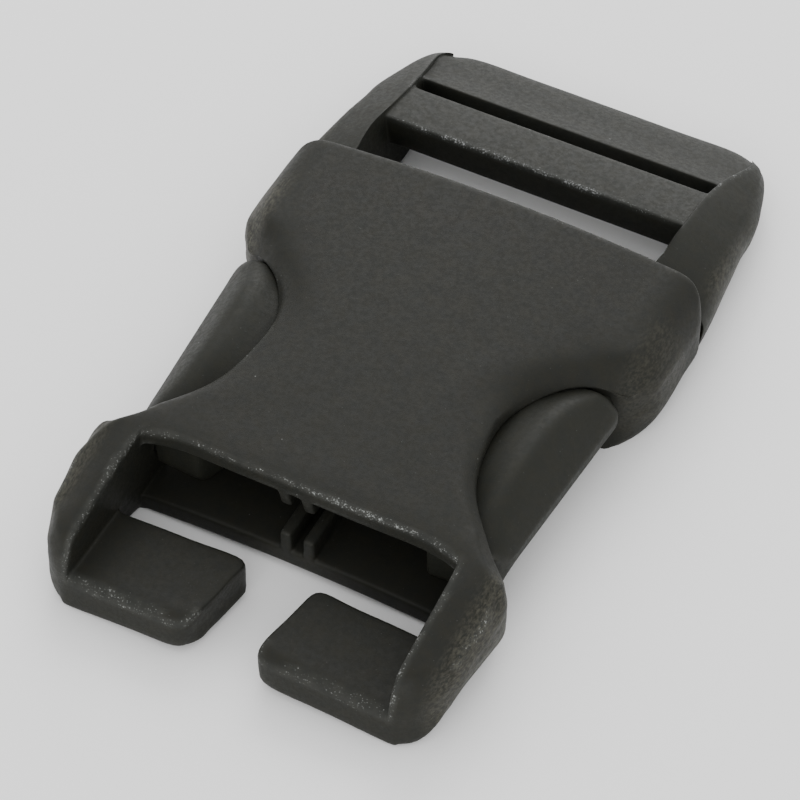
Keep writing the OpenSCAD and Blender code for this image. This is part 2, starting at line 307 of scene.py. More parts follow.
@dataclass
class Socket:
    """The hollow socket: a crowned shell with two side windows, a mouth and a split bar."""

    front: float = -32.5
    height: float = 9.4
    plate: float = 1.7
    crown: float = 140.0
    half: float = 18.5
    side_r: float = 3.2
    front_top_r: float = 1.9
    mouth_x: float = 13.45
    tunnel_x: float = 14.8
    tab_t: float = 3.4
    waist: Plan = (9.95, -8.0)
    rear_r: float = 9.2
    front_r: float = 14.0
    shoulder: Place = (13.3, 5.16, 5.2)
    brow: Place = (14.9, -21.8, 2.5)
    nose: Place = (-27.5, 3.2, 5.0)
    slope_deg: float = 10.5
    corner: Place = (13.0, -28.9, 3.6)
    lip_width: float = 3.2
    lip_depth: float = 1.3
    floor_rib_x: float = 0.13
    top_rib_x: float = -0.45
    arch: float = 0.6
    bevel: float = 0.28

    SLIT_COLUMN, WALL_COLUMN, SIDE_COLUMN = 3, 6, 9
    LIP_ROW, RAIL_ROW, COLLAR_ROW, REAR_ROW = 6, 8, 14, 19
    CEILING_LEVEL, TOP_LEVEL = 5, 6
    FLOOR_ROWS = (-32.5, -31.7, -30.3, -28.4, -26.4, -24.95, -21.7, -20.4, -16.9, -14.9, -12.0, -8.0, -4.6, -2.0,
                  0.6, 2.2, 5.0, 8.5, 11.3, 12.5)
    TOP_ROWS = (-30.85, -29.9, -28.5, -27.1, -25.6, -24.0, -20.3, -18.9, -16.9, -14.9, -12.0, -8.0, -4.6, -2.0,
                0.6, 2.2, 5.0, 8.5, 11.3, 12.5)
    CORNER_TOP = (
        ((14.5, -30.9, 6.7), (15.45, -30.5, 6.3), (16.15, -29.9, 5.55)),
        ((14.65, -29.8, 7.1), (15.75, -29.4, 6.75), (16.6, -28.8, 5.9)),
    )
    CORNER_LEVELS = {
        7: (0.0, 0.6, 2.6, 3.9, 5.0, 5.8), 8: (0.15, 0.85, 2.5, 3.8, 4.7, 5.3), 9: (1.0, 1.7, 2.6, 3.4, 4.1, 4.7),
    }
    CORNER_TURN = {7: 68, 8: 44, 9: 17}
    BASE_ROLL = {1: (0.3, 1.3), 2: (0.5, 1.6), 8: (0.4, 1.4), 14: (0.15, 0.8), 15: (0.3, 1.1), 16: (0.5, 1.5)}
    FULL_ROLL = (0.68, 1.9)
    SPREAD = {10: (0, 0.8, 1.9, 3.8), 11: (0, 1.2, 2.7, 4.6), 12: (0, 1.5, 3.2, 5.2), 13: (0, 1.7, 3.7, 6.0)}
    TOP_GRID = {
        6: {4: (6.9, -20.7), 5: (10.3, -20.6), 7: (15.1, -21.6), 8: (16.4, -22.2)},
        7: {4: (8.4, -18.7), 5: (12.1, -18.4), 6: (13.4, -18.6), 7: (14.45, -19.5), 8: (15.75, -20.6)},
        8: {7: (15.04, -18.8), 8: (16.3, -19.72)},
        14: {7: (15.41, 0.41), 8: (16.64, 1.18)},
        15: {4: (10.5, 1.5), 5: (12.8, 0.7), 6: (13.95, 0.9), 7: (15.0, 1.5), 8: (16.3, 2.4)},
        16: {4: (10.0, 4.1), 5: (12.1, 3.2), 6: (13.5, 3.1), 7: (14.9, 3.6), 8: (16.8, 4.6)},
        17: {4: (9.6, 8.2), 5: (11.8, 7.3), 6: (13.6, 7.0), 7: (15.2, 7.2), 8: (17.1, 7.7)},
        18: {4: (9.5, 11.3), 5: (11.8, 11.2), 6: (13.8, 11.0), 7: (15.4, 10.8), 8: (17.1, 10.4)},
        19: {4: (9.5, 12.5), 5: (11.9, 12.5), 6: (14.2, 12.5), 7: (15.6, 12.5), 8: (16.75, 12.45)},
    }
    LIP = {8: -17.3, 9: -14.9, 10: -12.0, 11: -8.0, 12: -4.6, 13: -2.0, 14: -0.5}
    SIDE = {
        1: (16.66, -28.7), 2: (16.77, -27.7), 3: (16.9, -26.5), 4: (17.04, -25.2), 5: (17.18, -23.9),
        6: (17.33, -22.6), 7: (17.36, -21.37), 8: (16.95, -20.37), 14: (17.8, 2.56), 15: (18.3, 3.75),
        16: (18.5, 5.9), 17: (18.5, 8.2), 18: (18.5, 10.2), 19: (17.9, 12.0),
    }

    def lip_point(self, row: int) -> Plan:
        """Return the place of the window's rim at a row, seen from above.

        Args:
            row: A row beside the window.

        Returns:
            Distance from the middle, and place along the buckle.
        """
        y = self.LIP[row]
        r = self.rear_r if y > self.waist[1] else self.front_r
        centre = self.waist[0] + r
        return centre - math.sqrt(r * r - (y - self.waist[1]) ** 2), y

    def edge_distance(self, x: float, y: float) -> tuple[float, float, float]:
        """Return the distance in from the outline, and the width and depth of the outline's rounding there.

        Args:
            x: Distance from the middle.
            y: Place along the buckle.

        Returns:
            The distance in from the outline, and the width and depth of the rounding.
        """
        back = y > self.waist[1]
        r = self.rear_r if back else self.front_r
        cx, cy = self.waist[0] + r, self.waist[1]
        sx, sy, sr = self.shoulder if back else self.brow
        side = 1 if back else -1
        wide = self.side_r if back else self.front_top_r
        narrow = blend(1.4, self.lip_width, (y + 18) / 7)
        if ((x - cx) * (sy - cy) - (y - cy) * (sx - cx)) * side < 0:
            away = math.hypot(x - cx, y - cy)
            distance, rim_x = away - r, cx + (x - cx) * r / away
        elif (y - sy) * side < 0 and x > sx:
            away = math.hypot(x - sx, y - sy)
            distance, rim_x = sr - away, sx + (x - sx) * sr / max(0.1, away)
        else:
            outer = self.half if back else blend(16.6, 17.4, (y + 29.3) / 7.5)
            distance, rim_x = outer - x, outer
        t = smooth((rim_x - 13.4) / (4.4 if back else 3.2))
        return distance, blend(narrow, wide, t), blend(self.lip_depth if back else 0.8, wide, t)

    def top_height(self, x: float, y: float) -> float:
        """Return the height of the outer top at a place seen from above.

        Args:
            x: Distance from the middle.
            y: Place along the buckle.

        Returns:
            The height.
        """
        x = abs(x)
        ny, nz, nr = self.nose
        s, c = math.sin(math.radians(self.slope_deg)), math.cos(math.radians(self.slope_deg))
        crest_y, crest_z = ny - nr * s, nz + nr * c
        top = soft_min(self.height, crest_z + (y - crest_y) * s / c, 0.5) - x * x / (2 * self.crown)
        if y < crest_y:
            top = soft_min(top, nz + math.sqrt(max(0, nr * nr - (y - ny) ** 2)), 0.3)
        return top - quarter_drop(*self.edge_distance(x, y))

    def ceiling(self, x: float) -> float:
        """Return the height of the hollow's ceiling."""
        return self.height - self.plate - x * x / (2 * self.crown)

    def cells(self, cage: Cage) -> None:
        """Add the socket's blocks to a cage: tabs, floor, top, side walls, collar walls and guide ribs.

        Args:
            cage: The cage that takes the blocks.
        """
        cage.block((-6, 6, 0), (6, 19, 2))
        cage.block((-6, 6, 5), (6, 19, 6))
        for low, high in (((6, 0, 0), (9, 8, 6)), ((6, 14, 0), (9, 19, 6)), ((3, 0, 0), (6, 5, 2))):
            cage.block(low, high)
            cage.block((-high[0],) + low[1:], (-low[0],) + high[1:])
        for side in (1, -2):
            cage.block((side, 6, 2), (side + 1, 9, 3))
            cage.block((side, 6, 4), (side + 1, 9, 5))

    def top_plan(self, a: int, j: int, side: int) -> Plan:
        """Return the place of a column and row on the outer top, seen from above.

        Args:
            a: Column, counted from the middle.
            j: Row, counted from the front.
            side: 1 on the right and -1 on the left.

        Returns:
            Distance from the middle, and place along the buckle.
        """
        y = self.TOP_ROWS[j]
        if a <= 3:
            return self.middle(a, j, side, self.top_rib_x), y - (0.5 if j == 6 else 0.0)
        if self.RAIL_ROW <= j <= self.COLLAR_ROW:
            ex, ey = self.lip_point(j)
            if a == 4:
                return ex - {8: 4.3, 9: 3.2}.get(j, 3.3), blend(y, ey, 0.3)
            if a == 5:
                slant = max(0.6, (self.waist[0] + 9 - ex) / 9)
                return {8: (12.1, -17.05), 14: (12.46, -0.42)}.get(j, (ex - 0.85 / slant, ey))
            if a == 6:
                return ex, ey
        if (a, j) == (self.WALL_COLUMN, self.LIP_ROW):
            return self.mouth_x - 0.1, -21.05
        if a in self.TOP_GRID.get(j, {}):
            return self.TOP_GRID[j][a]
        if j < self.LIP_ROW:
            inner = self.mouth_x
            outer = self.SIDE[max(1, j)][0] + (0.1 if j else -0.4)
            x = {6: inner, 7: inner + 1.2, 8: outer - 0.75}.get(a, outer)
            return x, y + (0.55, 0.3, 0.15, 0, 0, 0)[j] * max(0, a - 6)
        ex, ey = self.SIDE[j]
        nx, ny = self.side_normal(j)
        return ex + nx * 0.25, ey + ny * 0.25

    def middle(self, a: int, j: int, side: int, rib_x: float) -> float:
        """Return the distance from the middle of one of the middle columns, which hold the ribs in front.

        Args:
            a: Column, counted from the middle.
            j: Row, counted from the front.
            side: 1 on the right and -1 on the left.
            rib_x: Place of the middle between the two ribs.

        Returns:
            The distance.
        """
        if j >= 10:
            return self.SPREAD.get(j, (0, 2.0, 4.2, 6.8))[a]
        return 3.4 if a == 3 else rib_x * side + (0, 0.48, 1.48)[a]

    def side_normal(self, j: int) -> Plan:
        """Return the direction in from the outer side at a row.

        Args:
            j: Row, counted from the front.

        Returns:
            The direction, of length 1.
        """
        ex, ey = self.SIDE[j]
        for (cx, cy, _), rows in ((self.shoulder, (14, 15)), (self.brow, (7, 8)), ((16.0, 10.0, 2.5), (19,))):
            if j in rows:
                d = math.hypot(cx - ex, cy - ey)
                return (cx - ex) / d, (cy - ey) / d
        return -1.0, 0.0

    def nose_y(self, z: float) -> float:
        """Return how far the rounded front end lies behind the front at a height."""
        ny, nz, nr = self.nose
        return 0.0 if z < nz else nr - math.sqrt(nr * nr - (z - nz) ** 2)

    def place(self, i: int, j: int, k: int) -> Place:
        """Return the finished place of the cage's corner at column i, row j and level k.

        Args:
            i: Column, negative on the left.
            j: Row, counted from the front.
            k: Level.

        Returns:
            The place in millimetres.
        """
        side = -1 if i < 0 else 1
        x, y, z = self.right_place(abs(i), j, k, side)
        return side * x, y, z

    def right_place(self, a: int, j: int, k: int, side: int) -> Place:
        """Return the place of a corner as if it were on the right: x grows to the outside.

        Args:
            a: Column, counted from the middle.
            j: Row, counted from the front.
            k: Level.
            side: 1 on the right and -1 on the left.

        Returns:
            The place in millimetres.
        """
        if k == self.TOP_LEVEL:
            x, y = self.top_plan(a, j, side)
            if j < 2 and a > self.WALL_COLUMN:
                return self.CORNER_TOP[j][a - 7]
            swell = 0.4 if a == self.SIDE_COLUMN and j < self.LIP_ROW else 0.0
            return x, y, self.top_height(x - swell, y)
        if a >= self.WALL_COLUMN and (j <= self.RAIL_ROW or j >= self.COLLAR_ROW):
            return self.wall_place(a, j, k)
        if k == self.CEILING_LEVEL:
            x, y = self.top_plan(a, j, side)
            if j == self.REAR_ROW:
                y = self.TOP_ROWS[j]
            return x, y, self.ceiling(x)
        if k == 3:
            x = self.middle(a, j, side, self.floor_rib_x)
            return x, self.FLOOR_ROWS[j], 3.6 + self.rise(x)
        if k == 4:
            return self.middle(a, j, side, self.top_rib_x), self.TOP_ROWS[j], 5.75
        return self.floor_place(a, j, k, side)

    def floor_place(self, a: int, j: int, k: int, side: int) -> Place:
        """Return the place of a corner of the tabs or of the floor, inside the walls.

        Args:
            a: Column, counted from the middle.
            j: Row, counted from the front.
            k: Level.
            side: 1 on the right and -1 on the left.

        Returns:
            The place in millimetres.
        """
        y = self.row_y(j, k)
        if a < 3:
            x = self.middle(a, j, side, self.floor_rib_x)
        elif j >= self.RAIL_ROW:
            x, y = self.top_plan(a, j, side)
        else:
            x = (3.4, 6.8, 10.3, self.mouth_x)[a - 3]
        if j >= self.LIP_ROW:
            return x, y, (0.0, 0.85, self.plate)[k] + self.rise(x)
        lean, middle = (0.175, 2.64) if side > 0 else (-0.137, 2.38)
        if a == self.SLIT_COLUMN:
            x = middle + lean * (y + 28.75)
        elif a < self.WALL_COLUMN:
            x = blend(middle + 0.4 * lean * (y + 28.75), self.mouth_x, (a - 3) / 3)
        z = (0.0, 0.9, self.tab_t)[k] + self.rise(x)
        if j == 5 and k == 0:
            y -= 0.35
        if j == 0:
            y, z = ((self.front + 0.5, 0.0), (self.front, 0.5), (self.front, self.tab_t - 0.5))[k]
            z += self.rise(x)
        if a == self.SLIT_COLUMN:
            y += (0.15, 0.35 if k else 0.1, 0.35, 0.0, 0.0, 0.0)[j]
            x += (0.85, 0.1, 0.0, 0.0, 0.0, 0.45)[j] + (0.55, 0.3, 0.2)[k]
        return x, y, z

    def row_y(self, j: int, k: int) -> float:
        """Return the place along the buckle of a row at a low level; the underside's first row stands back."""
        return self.FLOOR_ROWS[j] + (0.65 if j == 1 and k == 0 else 0.0)

    def rise(self, x: float) -> float:
        """Return how far the arched floor and tabs stand over the surface at a distance from the middle."""
        return self.arch * max(0.0, 1 - (x / self.mouth_x) ** 2)

    def wall_place(self, a: int, j: int, k: int) -> Place:
        """Return the place of a corner of the side walls or of the collar's walls, below the outer top.

        Args:
            a: Column, counted from the middle.
            j: Row, counted from the front.
            k: Level.

        Returns:
            The place in millimetres.
        """
        front = j <= self.RAIL_ROW
        inner = self.mouth_x if front else self.tunnel_x
        corner = (a, j) == (self.WALL_COLUMN, self.LIP_ROW)
        low, high = self.row_y(j, k), self.TOP_ROWS[j] - (0.75 if corner else 0.0)
        y = blend(low, high, (k - 2) / 3) if front else high
        roof = self.ceiling(inner)
        if front:
            roof = min(roof, self.top_height(inner, high) - 0.8)
        height = (0.0, 0.9, self.plate if j >= self.LIP_ROW else self.tab_t, 4.0, 5.2, roof)[k]
        end = j in (0, self.RAIL_ROW, self.COLLAR_ROW, self.REAR_ROW)
        if a == self.WALL_COLUMN:
            if j == 0:
                return self.front_end(inner, k)
            if j in (self.RAIL_ROW, self.COLLAR_ROW) and k in (0, 1, 2, self.CEILING_LEVEL):
                x, y = self.lip_point(j)
                return x, y, (0.0, 0.9, self.plate, 0, 0, self.ceiling(x))[k]
            if j in (self.RAIL_ROW, self.COLLAR_ROW):
                return inner, -19.06 if front else 0.41, height
            return (inner if k else inner + 0.2), y, height
        ex, ey = self.SIDE[max(1, j)]
        nx, ny = self.side_normal(max(1, j))
        side_z = (1.9, 2.6, 3.3, 4.0, 4.7, self.height - self.side_r - 0.9)
        if front:
            top = self.top_height(ex - 0.9, ey)
            side_z = (1.9, 2.6, 3.3, blend(3.3, top - 1.9, 0.35), blend(3.3, top - 1.9, 0.7), top - 1.9)
        if j == 0:
            return self.front_corner(a, k)
        if a == self.SIDE_COLUMN:
            if k == 0:
                return ex + nx * 0.3, ey + ny * 0.3, self.BASE_ROLL.get(j, self.FULL_ROLL)[1]
            return ex + (self.bulge(j) * smooth((side_z[k] - 2.2) / 2.2) if front else 0.0), ey, side_z[k]
        if not end:
            x = (blend(inner, ex, 0.4), ex - 1.2)[a - 7]
            y = blend(y, ey, (0.35, 0.75)[a - 7])
            if k == 0:
                return x, y, (0.0, self.BASE_ROLL.get(j, self.FULL_ROLL)[0])[a - 7]
            return x, y, blend(height, side_z[k], (0.3, 0.75)[a - 7])
        tx, ty = self.top_plan(a, j, 1)
        if k == 0:
            roll = self.BASE_ROLL.get(j, self.FULL_ROLL)[0]
            return tx + (0, nx * roll * 0.7)[a - 7], ty + (0, ny * roll * 0.7)[a - 7], (0.0, roll)[a - 7]
        z = blend(height, side_z[k], (0.3, 0.75)[a - 7])
        if j in (self.RAIL_ROW, self.COLLAR_ROW) and k in (3, 4) and a == 7:
            tx, ty = (15.5, -19.06) if front else (15.6, 0.5)
        return tx, ty, z

    def bulge(self, j: int) -> float:
        """Return how far the front walls swell out above their foot at a row."""
        return 0.4 * min(1.0, 0.5 * j, 0.35 * (8 - j))

    def front_end(self, x: float, k: int) -> Place:
        """Return the place of a level on the front end of a side wall, beside the tab."""
        z = (0.0, 0.5, self.tab_t - 0.5, 4.1, 5.0, 5.9)[k]
        return x, self.front + (0.5 if k == 0 else self.nose_y(z)), z

    def front_corner(self, a: int, k: int) -> Place:
        """Return the place of a level on the rounded front corner.

        Args:
            a: Column, counted from the middle.
            k: Level.

        Returns:
            The place in millimetres.
        """
        cx, cy, r = self.corner
        turn = math.radians(self.CORNER_TURN[a])
        z = self.CORNER_LEVELS[a][k]
        inset = (0.4 if a == self.SIDE_COLUMN else 0.5) if k == 0 else 0
        back = self.nose_y(z)
        return cx + (r - inset) * math.cos(turn), cy - (r - inset) * math.sin(turn) + back * math.sin(turn), z

    def build(self) -> bpy.types.Object:
        """Model the socket.

        Returns:
            The finished moulding.
        """
        cage = Cage("socket_moulding")
        self.cells(cage)
        return cage.finish(self.place, 50, self.bevel, self.crease)

    @staticmethod
    def crease(a: Key, b: Key) -> float | None:
        """Return the crease of the edges whose angle doesn't decide it: the tabs' low edges and the rear corners.

        Args:
            a: Name of one end's corner.
            b: Name of the other end's corner.

        Returns:
            The crease, or None where the angle decides.
        """
        columns, row = (abs(a[0]), abs(b[0])), a[1] if a[1] == b[1] else None
        if row == Socket.REAR_ROW and columns == (Socket.SIDE_COLUMN, Socket.SIDE_COLUMN):
            return 1.0
        low, tab = max(a[2], b[2]) < 2, max(a[1], b[1]) < Socket.LIP_ROW
        upright = a[:2] == b[:2] and max(a[2], b[2]) == 2
        if tab and (low or (upright and columns[0] == Socket.SLIT_COLUMN)):
            return 0.0
        if low and row in (Socket.RAIL_ROW, Socket.COLLAR_ROW) and min(columns) > Socket.WALL_COLUMN:
            return 0.0
        return None

    @staticmethod
    def wear_and_highlight(x: float, y: float, z: float) -> float:
        """Return how worn an edge at a place is and how strong its painted highlight is, from 0 to 1.

        Args:
            x: Distance across the buckle, positive on the right.
            y: Place along the buckle.
            z: Height.

        Returns:
            The wear together with the painted highlight.
        """
        # Painted highlight: the edges that catch the light are painted pale along with their wear. The lip and the
        # left window's rim get more than the right one.
        if z > 8 and y < -19.2 and abs(x) < 13.2:
            return blend(0.45, 0.75, (x + 4) / 9)
        if y < -19.5 and abs(x) > 12.4 and z > 4.6:
            return 0.6 if x > 0 else 0.55
        if y < -30.6 and 1.9 < z < 4.6:
            return 0.55 if x < 0 else 0.42
        if z > 7 and -17.6 < y < 1 and abs(x) > 9.6:
            return 0.42 if x < 0 else 0.12
        if z > 6.5 and y > 10.5:
            return 0.3
        return 0.08 if z > 4 else 0.0

    @staticmethod
    def scuff_and_sheen(x: float, y: float, z: float) -> float:
        """Return how scuffed the surface at a place is and how strong its painted sheen is, from 0 to 1.

        Args:
            x: Distance across the buckle, positive on the right.
            y: Place along the buckle.
            z: Height.

        Returns:
            The scuffing together with the painted sheen.
        """
        # Painted sheen: the outer sides are painted paler where they catch the pale surroundings, the left shoulder
        # most, along with their dust.
        side = smooth((abs(x) - 15.2) / 1.5) * smooth((z - 0.8) / 1.5)
        front = 0.8 if y < -20 else 0.0
        shoulder = smooth((y + 1.5) / 2) * smooth((9 - y) / 3) * (1.0 if x < 0 else 0.35)
        return side * min(1.0, front + shoulder)


@dataclass
class Plug:
    """The plug: a webbing frame with two bars, and two release arms that reach into the socket's windows."""

    root: float = 12.8
    half_root: float = 18.4
    taper_deg: float = 6.0
    corner: Plan = (10.9, 26.2)
    top: float = 7.8
    top_r: float = 33.4
    crest: float = 14.0
    base: float = 0.5
    slot_x: float = 13.1
    slot_draft: float = 0.105
    bar_z: float = 4.1
    bevel: float = 0.25

    HIDDEN = {
        "plug_root": ((-14.5, 9.2, 2.0), (14.5, 13.4, 6.6)),
        "plug_tongue": ((-2.5, -0.2, 3.25), (2.5, 9.6, 6.45)),
    }
    ROWS = (12.8, 14.2, 16.2, 18.2, 19.6, 21.8, 23.4, 25.2, 26.6, 28.4, 30.2, 32.3)
    STEP = {6: 13.5, 7: 13.6, 8: 13.8, 9: 14.15, 10: 14.25}
    RIM = {6: 17.45, 7: 17.15, 8: 16.75, 9: 16.2, 10: 15.4}
    END = {3: (12.0, 32.2), 4: (13.85, 31.55), 5: (14.2, 31.3), 6: (14.55, 31.0), 7: (14.85, 30.7)}
    STEP_DROP = (0, 0, 0.3, 0.4, 0.4, 0.4, 0.45, 0.55, 0.7, 0.65, 0.3, 0.0)

    def frame_top(self, y: float) -> float:
        """Return the height of the rails' inner edge at a place along the buckle."""
        return self.top - self.top_r + math.sqrt(self.top_r ** 2 - max(0, y - self.crest) ** 2)

    def cells(self, cage: Cage) -> None:
        """Add the frame's blocks to a cage: two rails, the centre bar and the end bar.

        Args:
            cage: The cage that takes the blocks.
        """
        for low, high in ((4, 7), (-7, -4)):
            cage.block((low, 0, 0), (high, 11, 4))
        cage.block((-4, 3, 2), (4, 6, 3))
        cage.block((-4, 7, 0), (4, 11, 3))

    def rim(self, j: int) -> float:
        """Return the distance of the frame's side from the middle at a row."""
        return self.RIM.get(j, self.half_root - (self.ROWS[j] - self.root) * math.tan(math.radians(self.taper_deg)))

    def plan(self, a: int, j: int) -> Plan:
        """Return the place of a column and row on the frame, seen from above.

        Args:
            a: Column, counted from the middle.
            j: Row, counted from the front.

        Returns:
            Distance from the middle, and place along the buckle.
        """
        y = self.ROWS[j]
        if j == 11 and a > 2:
            return self.END[a]
        if a < 4:
            return (0, 4, 8, 11.6)[a], y
        inner = self.STEP.get(j, self.slot_x + 0.3)
        if j == 0:
            y -= (0, 0, 0.3, 1.4)[a - 4]
        return blend(inner, self.rim(j), (0, 0.36, 0.7, 1)[a - 4]), y

    def place(self, i: int, j: int, k: int) -> Place:
        """Return the finished place of the cage's corner at column i, row j and level k.

        Args:
            i: Column, negative on the left.
            j: Row, counted from the front.
            k: Level.

        Returns:
            The place in millimetres.
        """
        a, side = abs(i), -1 if i < 0 else 1
        x, y = self.plan(a, j)
        crown = self.frame_top(y)
        bar_top = crown - self.STEP_DROP[j]
        if a < 4 and j < 7:
            return side * x, y, self.bar_z if k == 2 else bar_top
        width = (self.rim(j) - self.STEP.get(j, self.slot_x + 0.3)) / 4.95 if j < 11 else 0.14
        ridge = crown - width * (0, 0.83, 1.75, 2.5)[max(0, a - 4)]
        if a == 7 or j == 11:
            top = ridge if a >= 4 else bar_top
            nx, ny = self.inward(a, j)
            if a < 4:
                share, pull = (0.0, 0.25, 0.6, 1.0)[k], (0.6, 0.15, 0.0, 0.3)[k]
            else:
                share = (0.05, 0.27, 0.52, 0.76, 1.0)[k]
                pull = (0.75, 0.3, 0.08, 0.0, 0.45 * min(1.0, width + 0.3))[k]
            return side * (x + nx * pull), y + ny * pull, blend(self.base, top, share)
        if a == 4:
            z = (self.base, 1.6, self.bar_z, bar_top, crown)[k] if j < 7 else (
                self.base, blend(self.base, bar_top, 0.3), blend(self.base, bar_top, 0.65), bar_top, crown)[k]
            if j < 7:
                x += (z - 7.0) * self.slot_draft
            return side * x, y, z
        if a < 4:
            return side * x, y, blend(self.base, bar_top, k / 3)
        return side * x, y, blend(self.base, ridge, k / 4)

    def inward(self, a: int, j: int) -> Plan:
        """Return the direction in from the frame's outline at a column and row.

        Args:
            a: Column, counted from the middle.
            j: Row, counted from the front.

        Returns:
            The direction, of length 1.
        """
        if j < 8:
            return -1.0, 0.0
        if a < 3:
            return 0.0, -1.0
        cx, cy = self.corner
        x, y = self.plan(a, j)
        d = math.hypot(cx - x, cy - y)
        return (cx - x) / d, (cy - y) / d

    def build(self) -> bpy.types.Object:
        """Model the plug.

        Returns:
            The finished moulding.
        """
        cage = Cage("plug_frame")
        self.cells(cage)
        frame = cage.finish(self.place, 50, self.bevel)
        pieces = [frame, ReleaseArm().build(1), ReleaseArm().build(-1)]
        pieces += [self.bar(name, low, high) for name, (low, high) in self.HIDDEN.items()]
        deselect()
        for piece in pieces:
            piece.select_set(True)
        bpy.context.view_layer.objects.active = frame
        bpy.ops.object.join()
        frame.name = frame.data.name = "plug_moulding"
        return frame

    @staticmethod
    def wear_and_highlight(x: float, y: float, z: float) -> float:
        """Return how worn an edge at a place is and how strong its painted highlight is, from 0 to 1.

        Args:
            x: Distance across the buckle, positive on the right.
            y: Place along the buckle.
            z: Height.

        Returns:
            The wear together with the painted highlight.
        """
        # Painted highlight: the centre bar's near top edge and the rails' far ends are painted pale where they
        # catch the light, along with their wear.
        if 17.2 < y < 19.3 and z > 6 and abs(x) < 13.3:
            return blend(0.7, 0.4, (abs(x + 1) - 8) / 4)
        if 22.8 < y < 24.0 and z > 5.5 and abs(x) < 13.3:
            return 0.35
        if y > 22.5 and 13 < abs(x) < 15.4 and z > 2.5:
            return 0.5
        return 0.1 if y > 12 and z > 4 else 0.0

    @staticmethod
    def scuff_and_sheen(x: float, y: float, z: float) -> float:
        """Return how scuffed the surface at a place is and how strong its painted sheen is, from 0 to 1."""
        # Painted sheen: the frame's outer sides are painted paler, along with their dust.
        return 0.7 * smooth((abs(x) - 16.6) / 1.2) * smooth((y - 12) / 4)

    def bar(self, name: str, low: Place, high: Place) -> bpy.types.Object:
        """Model a plain hidden bar with rounded edges.

        Args:
            name: The piece's name.
            low: Low corner.
            high: High corner.

        Returns:
            The bar.
        """
        deselect()
        centre = [(a + b) / 2 * MM for a, b in zip(low, high)]
        bpy.ops.mesh.primitive_cube_add(size=1, location=(0, 0, 0))
        obj = bpy.context.object
        obj.name = name
        bpy.ops.object.mode_set(mode="EDIT")
        bpy.ops.mesh.select_all(action="SELECT")
        bpy.ops.transform.resize(value=[(b - a) * MM for a, b in zip(low, high)])
        bpy.ops.transform.translate(value=centre)
        bpy.ops.mesh.bevel(offset=0.3 * MM, segments=2, affect="EDGES")
        bpy.ops.object.mode_set(mode="OBJECT")
        return obj


@dataclass
class ReleaseArm:
    """One release arm: a bevelled button in the socket's window and a spring that runs back to the root."""

    socket: Socket = field(default_factory=Socket)
    outer: float = 16.8
    head: float = 0.11
    tip: float = -19.0
    taper_deg: float = 3.9
    mid: float = 4.85
    roof_gap: float = 0.4
    bevel: float = 0.25

    ROWS = (-19.0, -18.1, -16.4, -14.4, -11.4, -8.0, -4.8, -2.6, -1.1, -0.35, 0.11)
    HEAD_X = (11.5, 12.7, 13.8, 14.9, 15.8)
    NECK_X = (10.6, 12.3, 13.95, 15.35, 16.5)
    INSET = (7.2, 4.8, 2.85, 1.25, 0.0)
    NOSE_INSET = (6.3, 4.7, 2.95, 1.5, 0.45)
    TIP_INSET = (5.6, 4.4, 3.2, 2.0, 1.1)
    TIP_BACK = (0, 0, 0, 0.1, 0.4)
    RISE = (2.6, 3.1, 3.25, 2.0, 0.8)
    SPRING_X = (12.3, 12.8, 13.4, 14.0, 14.5)
    SPRING_Y = (2.4, 6.0, 10.0)
    SPRING_Z = (-1.8, -0.7, 0.7, 1.8)

    def outer_x(self, y: float) -> float:
        """Return the outer edge's distance from the middle at a place along the button."""
        return self.outer - (self.head - y) * math.tan(math.radians(self.taper_deg))

    def room(self, x: float, y: float) -> float:
        """Return how far a place lies inside the window's outline."""
        waist_x, waist_y = self.socket.waist
        r = self.socket.rear_r if y > waist_y else self.socket.front_r
        return r - math.hypot(x - waist_x - r, y - waist_y)

    def place(self, i: int, j: int, k: int) -> Place:
        """Return the finished place of the cage's corner at column i, row j and level k.

        Args:
            i: Column, from the hidden side to the outer edge.
            j: Row, from the tip.
            k: Level, from the underside.

        Returns:
            The place in millimetres.
        """
        last = len(self.ROWS) - 1
        if j > last:
            return self.SPRING_X[i], self.SPRING_Y[j - last - 1], self.mid + self.SPRING_Z[k]
        y = self.ROWS[j]
        edge = self.outer_x(y)
        x = edge - self.INSET[i]
        if j == last:
            x = self.HEAD_X[i]
        elif j == last - 1:
            x = self.NECK_X[i]
        elif j == 0:
            x = edge - self.TIP_INSET[i]
            y += self.TIP_BACK[i]
        elif j == 1:
            x = edge - self.NOSE_INSET[i]
        top = self.RISE[i]
        if i < 4:
            inside = self.room(x, y)
            free = self.socket.ceiling(x) - self.roof_gap - self.mid + 0.5 * max(0.0, inside + 0.6)
            top = soft_min(top, free, 0.6)
            top -= quarter_drop(self.head - y, 1.7, 0.4 * top) + quarter_drop(y - self.tip, 2.6, 0.3 * top)
        else:
            top += 0.8 * (1 - smooth((y - self.tip) / 3))
            x -= 0.2 if k in (0, 3) else 0.0
        z = self.mid + top * (-1.0, -0.36, 0.36, 1.0)[k]
        if j < 2:
            z -= (0.8, 0.3, 0.0, 0.0)[k]
        return x, y, z

    @staticmethod
    def crease(a: Key, b: Key) -> float | None:
        """Return no crease for the edges across the head, where the spring starts, and None for the others."""
        return 0.0 if a[1] == b[1] and a[1] in (10, 11) else None

    def build(self, side: int) -> bpy.types.Object:
        """Model an arm.

        Args:
            side: 1 on the right and -1 on the left.

        Returns:
            The finished arm.
        """
        cage = Cage("release_arm")
        cage.block((0, 0, 0), (4, 13, 3))
        arm = cage.finish(self.place, 60, self.bevel, self.crease)
        if side < 0:
            activate(arm)
            bpy.ops.object.mode_set(mode="EDIT")
            bpy.ops.mesh.select_all(action="SELECT")
            bpy.ops.transform.resize(value=(-1, 1, 1), center_override=(0, 0, 0))
            bpy.ops.mesh.flip_normals()
            bpy.ops.object.mode_set(mode="OBJECT")
        return arm


